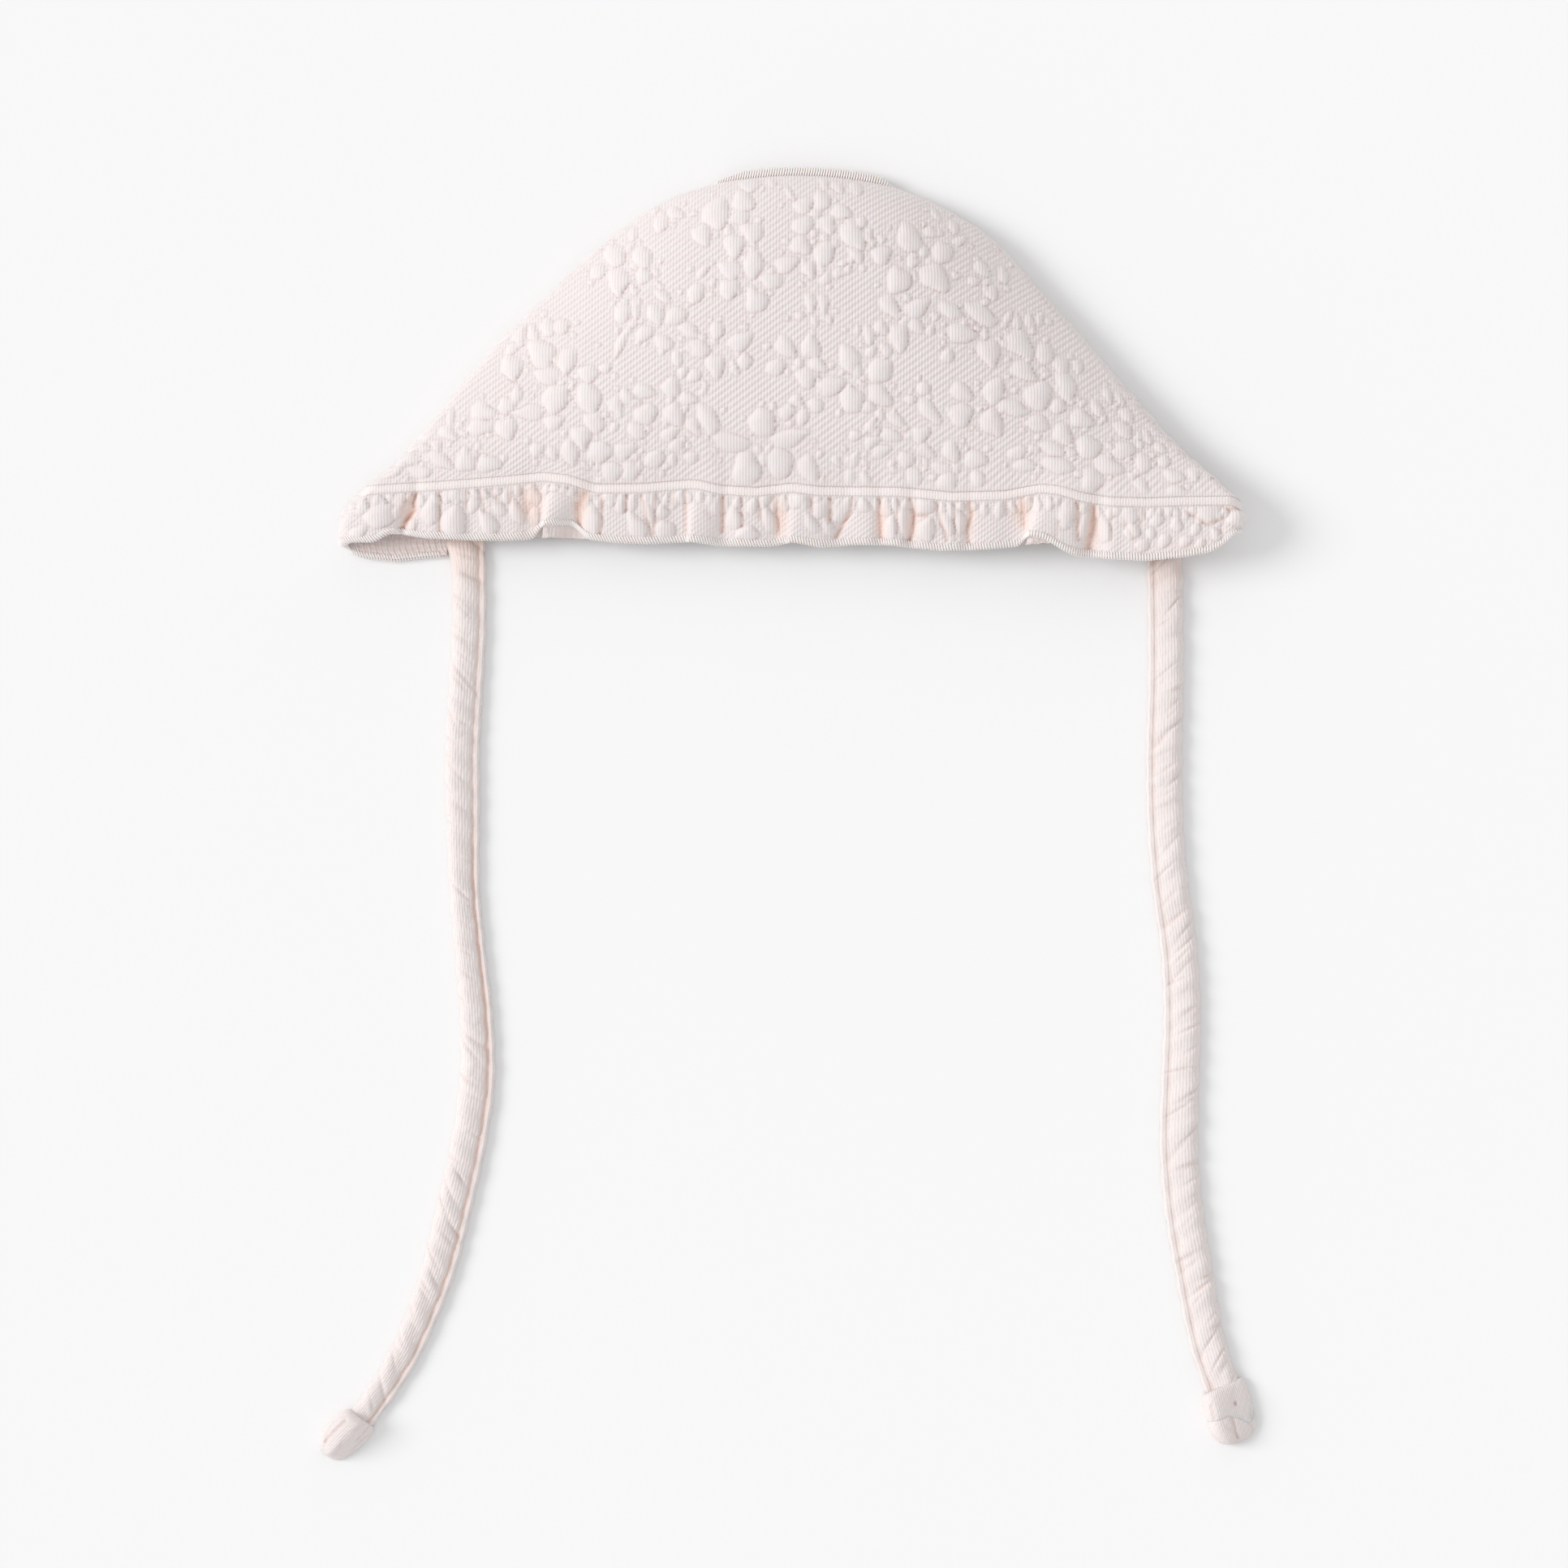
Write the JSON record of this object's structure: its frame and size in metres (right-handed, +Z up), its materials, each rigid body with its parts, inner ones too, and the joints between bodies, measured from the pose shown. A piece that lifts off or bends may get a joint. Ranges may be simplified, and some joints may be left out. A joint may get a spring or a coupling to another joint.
{
  "type": "baby bonnet",
  "caption": "Baby bonnet of padded floral blister knit with a gathered face ruffle, neck binding and two knotted ties, laid flat.",
  "frame": {"origin": "under the middle of the bonnet without its ties, on the surface that it lies on", "axes": "+X along the face edge from the wearer's one ear to the other as laid, +Y from the face edge to the top of the crown, +Z up"},
  "size_m": [0.2654, 0.3671, 0.0242],
  "materials": {
    "knit": "pale pink padded cotton blister knit, matt and soft",
    "binding": "the same knit cut as a strip and edge-stitched",
    "thread": "white overlock thread"
  },
  "bodies": {
    "root": {"crown_band": "knit", "back_panel": "knit", "back_seam": "thread", "seam_band": "binding", "ruffle": "knit", "neck_binding": "binding", "tie_left": "binding", "tie_right": "binding", "tie_knot_left": "binding", "tie_knot_right": "binding"}
  },
  "joints": []
}
